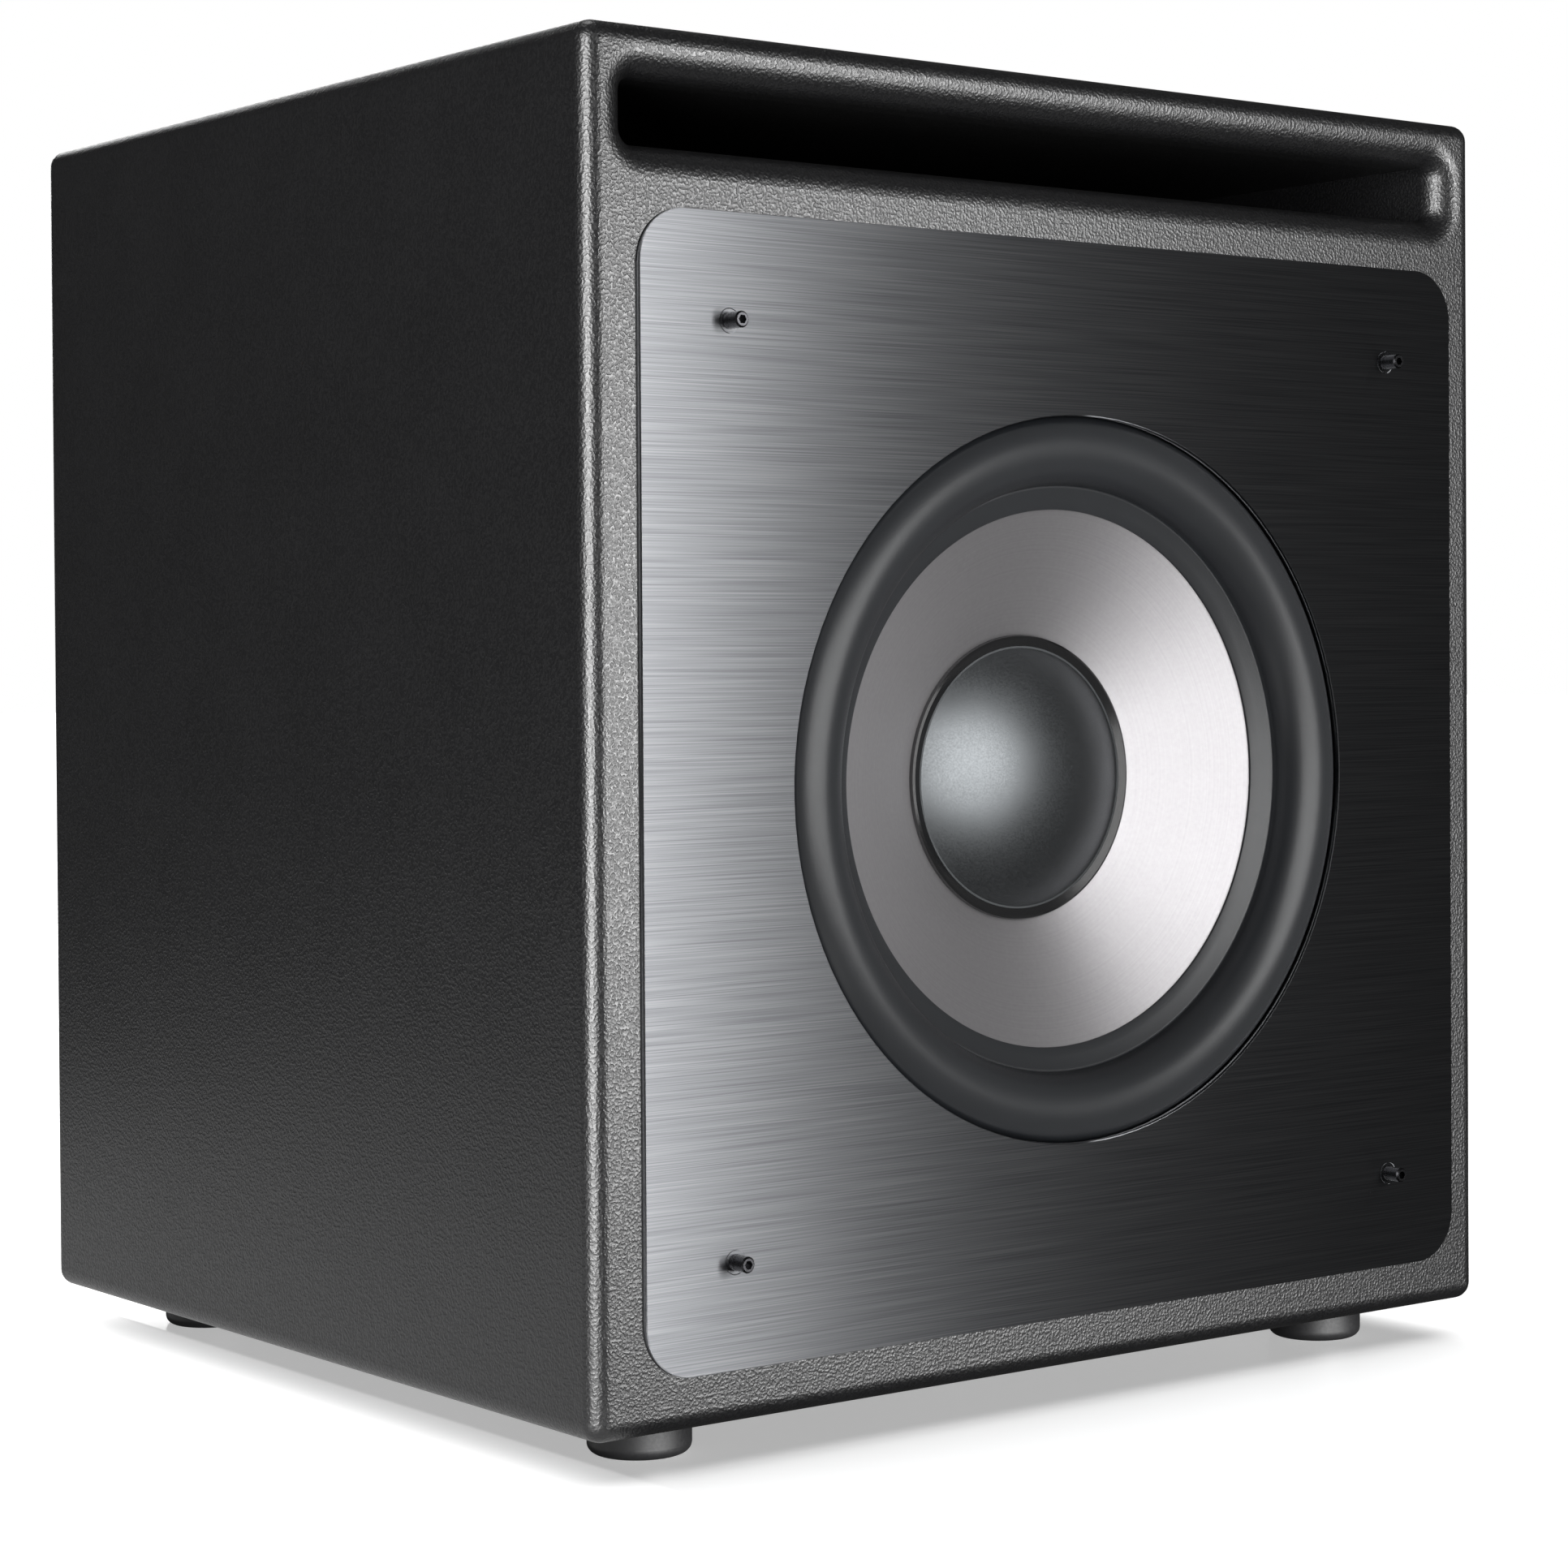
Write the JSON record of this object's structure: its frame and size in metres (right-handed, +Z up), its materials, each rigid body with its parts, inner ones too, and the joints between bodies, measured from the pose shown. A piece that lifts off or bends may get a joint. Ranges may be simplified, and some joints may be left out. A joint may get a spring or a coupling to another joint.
{
  "type": "subwoofer",
  "caption": "Slot-ported floor-standing bass loudspeaker with a brushed front plate, a long-throw metal-cone driver and a rear plate amplifier.",
  "frame": {"origin": "middle of the overall box, on the floor plane under the feet", "axes": "+Z up, -Y out of the front (driver and port side), +X to the right as seen from the front"},
  "size_m": [0.454, 0.4578, 0.516],
  "materials": {
    "painted_board": "sprayed textured black paint on MDF",
    "port_board": "black overspray fading to raw MDF",
    "raw_board": "raw MDF and softwood",
    "wadding": "white polyester wadding",
    "brushed_plate": "brushed, dark anodised",
    "black_backing": "matt",
    "black_steel": "black zinc",
    "foot_rubber": "matt",
    "plated_steel": "zinc plated",
    "cast_frame": "textured black powder coat",
    "foam_gasket": "closed-cell foam",
    "ferrite": "ground ferrite",
    "copper": "enamelled copper",
    "boot_rubber": "matt",
    "terminal_plastic": "moulded",
    "cone_metal": "fine spun",
    "surround_rubber": "moulded butyl, satin",
    "cap_metal": "satin anodised, dark",
    "trim_ring": "moulded, glossy lip",
    "former_foil": "black anodised foil",
    "spider_cloth": "phenolic-dipped cloth",
    "amp_panel": "fine-texture powder coat",
    "heat_sink_finish": "black anodised extrusion",
    "cover_steel": "galvanised sheet",
    "circuit_laminate": "green solder mask",
    "transformer_wrap": "polyester tape wrap",
    "capacitor_sleeve": "shrink sleeve",
    "epoxy_case": "moulded epoxy",
    "knob_plastic": "moulded ABS",
    "slider_plastic": "moulded nylon",
    "switch_plastic": "moulded nylon",
    "rocker_plastic": "moulded, semi-gloss",
    "inlet_plastic": "moulded thermoplastic",
    "plated_brass": "gold flash over nickel",
    "fuse_glass": "clear tube",
    "jack_plastic": "moulded insulator",
    "cable_jacket": "PVC jacket"
  },
  "bodies": {
    "cabinet": {"front_baffle": "painted_board", "top_board": "painted_board", "bottom_board": "painted_board", "left_side_board": "painted_board", "right_side_board": "painted_board", "rear_board": "painted_board", "port_shelf": "port_board", "window_brace": "raw_board", "glue_cleats": "raw_board", "damping_lining": "wadding", "front_plate": "brushed_plate", "plate_backing": "black_backing", "grille_posts": "black_steel", "feet": "foot_rubber", "foot_screws": "plated_steel", "driver_basket": "cast_frame", "driver_gasket": "foam_gasket", "driver_screws": "black_steel", "top_plate": "plated_steel", "magnet": "ferrite", "back_plate": "plated_steel", "shorting_ring": "copper", "magnet_boot": "boot_rubber", "driver_terminals": "terminal_plastic", "surround": "surround_rubber", "spider": "spider_cloth", "tinsel_leads": "copper", "amp_plate": "amp_panel", "amp_gasket": "foam_gasket", "amp_screws": "black_steel", "heat_sink": "heat_sink_finish", "amp_cover": "cover_steel", "circuit_board": "circuit_laminate", "transformer": "transformer_wrap", "capacitors": "capacitor_sleeve", "power_transistors": "epoxy_case", "potentiometers": "plated_steel", "switch_housings": "plated_steel", "rocker_housing": "switch_plastic", "mains_inlet": "inlet_plastic", "inlet_pins": "plated_brass", "line_jacks": "plated_brass", "jack_insulators": "jack_plastic", "driver_cable": "cable_jacket"},
    "cone_assembly": {"cone": "cone_metal", "dust_cap": "cap_metal", "cap_trim_ring": "trim_ring", "coil_former": "former_foil", "voice_coil": "copper"},
    "level_control": {"level_knob": "knob_plastic", "level_shaft": "plated_steel"},
    "crossover_control": {"crossover_knob": "knob_plastic", "crossover_shaft": "plated_steel"},
    "phase_switch": {"phase_slider": "slider_plastic"},
    "mode_switch": {"mode_slider": "slider_plastic"},
    "power_switch": {"power_rocker": "rocker_plastic"},
    "fuse_holder": {"fuse_drawer": "inlet_plastic", "fuse": "fuse_glass"}
  },
  "joints": [
    {"name": "cone_travel", "type": "slide", "parent": "cabinet", "child": "cone_assembly", "axis": [0, -1, 0], "range_m": [-0.01, 0.01], "stiffness_N_per_m": 4500, "deforming": ["surround", "spider", "tinsel_leads"]},
    {"name": "level_turn", "type": "hinge", "parent": "cabinet", "child": "level_control", "pos_m": [0.072, 0.21295, 0.208], "axis": [0, 1, 0], "range_deg": [-150, 150]},
    {"name": "crossover_turn", "type": "hinge", "parent": "cabinet", "child": "crossover_control", "pos_m": [0.026, 0.21295, 0.208], "axis": [0, 1, 0], "range_deg": [-150, 150]},
    {"name": "phase_slide", "type": "slide", "parent": "cabinet", "child": "phase_switch", "axis": [1, 0, 0], "range_m": [0, 0.004]},
    {"name": "mode_slide", "type": "slide", "parent": "cabinet", "child": "mode_switch", "axis": [1, 0, 0], "range_m": [-0.002, 0.002]},
    {"name": "power_rock", "type": "hinge", "parent": "cabinet", "child": "power_switch", "pos_m": [0.006, 0.20995, 0.11], "axis": [1, 0, 0], "range_deg": [-24, 0]},
    {"name": "fuse_pull", "type": "slide", "parent": "cabinet", "child": "fuse_holder", "axis": [0, 1, 0], "range_m": [0, 0.019]}
  ]
}
